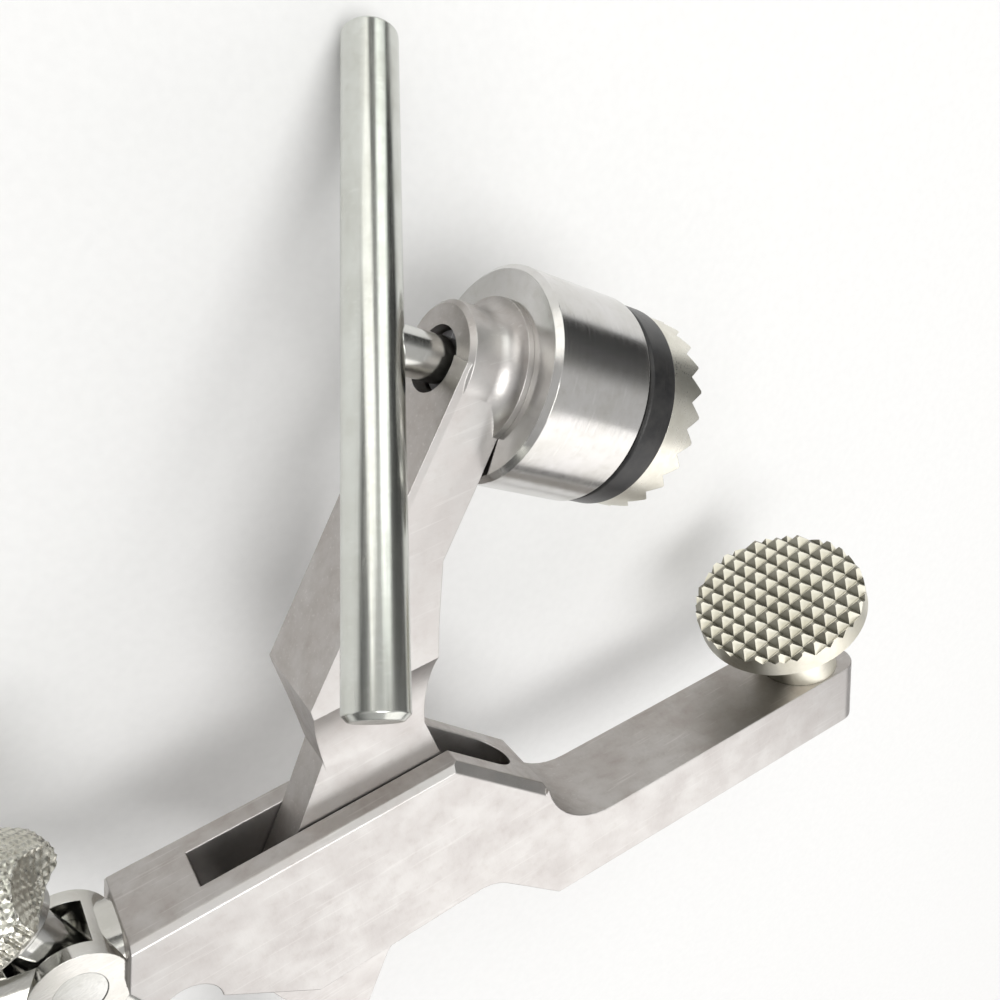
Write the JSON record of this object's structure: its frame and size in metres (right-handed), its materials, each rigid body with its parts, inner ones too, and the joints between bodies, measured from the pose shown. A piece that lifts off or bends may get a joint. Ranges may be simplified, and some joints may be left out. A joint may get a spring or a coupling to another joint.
{
  "type": "screw-driven bone clamp",
  "caption": "Steel bone clamp with plier handles, a slotted frame, a toothed pad, and a swinging arm whose T-handled screw pushes a toothed crown out of a drum.",
  "frame": {"origin": "on the pivot axis of the swinging arm, in the plane of the flank that the clamp lies on", "axes": "+X forward along the frame towards the jaw, +Y from the jaw up towards the drum, +Z out of the flank it lies on, along the pivot axis"},
  "size_m": [0.2195, 0.1907, 0.0476],
  "materials": {
    "satin_steel": "satin ground",
    "polished_steel": "polished",
    "bar_steel": "polished, drawn along its length",
    "drum_steel": "polished, turned",
    "pad_steel": "satin, machined teeth",
    "crown_steel": "satin, machined teeth",
    "nut_steel": "satin, knurled",
    "spring_steel": "dark spring steel",
    "black_polymer": "matt black",
    "bronze": "turned bearing bronze"
  },
  "bodies": {
    "clamp_frame": {"frame": "satin_steel", "upper_handle": "polished_steel", "pivot_pin": "polished_steel", "pad_disc": "pad_steel", "pad_screw": "polished_steel"},
    "arm": {"swinging_arm": "satin_steel", "lower_handle": "polished_steel", "boss_bush": "bronze", "drum_housing": "drum_steel", "drum_screws": "polished_steel", "drum_key": "polished_steel", "rod_pin": "polished_steel"},
    "screw": {"spindle": "polished_steel", "t_bar": "bar_steel", "spindle_ring": "spring_steel", "thrust_washer": "bronze"},
    "plunger": {"piston": "satin_steel", "black_ring": "black_polymer", "toothed_crown": "crown_steel"},
    "rod": {"lock_rod": "polished_steel", "rod_stop": "polished_steel"},
    "seat": {"swivel_seat": "polished_steel"},
    "nut": {"knurled_nut": "nut_steel"}
  },
  "joints": [
    {"name": "arm_swing", "type": "hinge", "parent": "clamp_frame", "child": "arm", "pos_m": [0, 0, 0.006], "axis": [0, 0, 1], "range_deg": [-33, 0]},
    {"name": "screw_turn", "type": "hinge", "parent": "arm", "child": "screw", "pos_m": [0.0207, 0.05675, 0.006], "axis": [0.8368, -0.5476, 0], "range_deg": [0, 1800]},
    {"name": "plunger_slide", "type": "slide", "parent": "arm", "child": "plunger", "axis": [0.8368, -0.5476, 0], "range_m": [0, 0.005]},
    {"name": "rod_swing", "type": "hinge", "parent": "arm", "child": "rod", "pos_m": [-0.02515, -0.03165, 0.006], "axis": [0, 0, 1], "range_deg": [-0.5, 17]},
    {"name": "seat_tilt", "type": "hinge", "parent": "clamp_frame", "child": "seat", "pos_m": [-0.03899, 0.0107, 0.006], "axis": [0, 0, 1], "range_deg": [-17, 0.5]},
    {"name": "nut_spin", "type": "hinge", "parent": "seat", "child": "nut", "pos_m": [-0.03899, 0.0107, 0.006], "axis": [-0.3105, 0.9506, 0], "continuous": true}
  ],
  "couplings": [
    {"joint": "plunger_slide", "follows": "screw_turn", "m_per_rad": 0.00015915},
    {"joint": "rod_swing", "follows": "arm_swing", "ratio": -0.5},
    {"joint": "seat_tilt", "follows": "arm_swing", "ratio": 0.5}
  ]
}
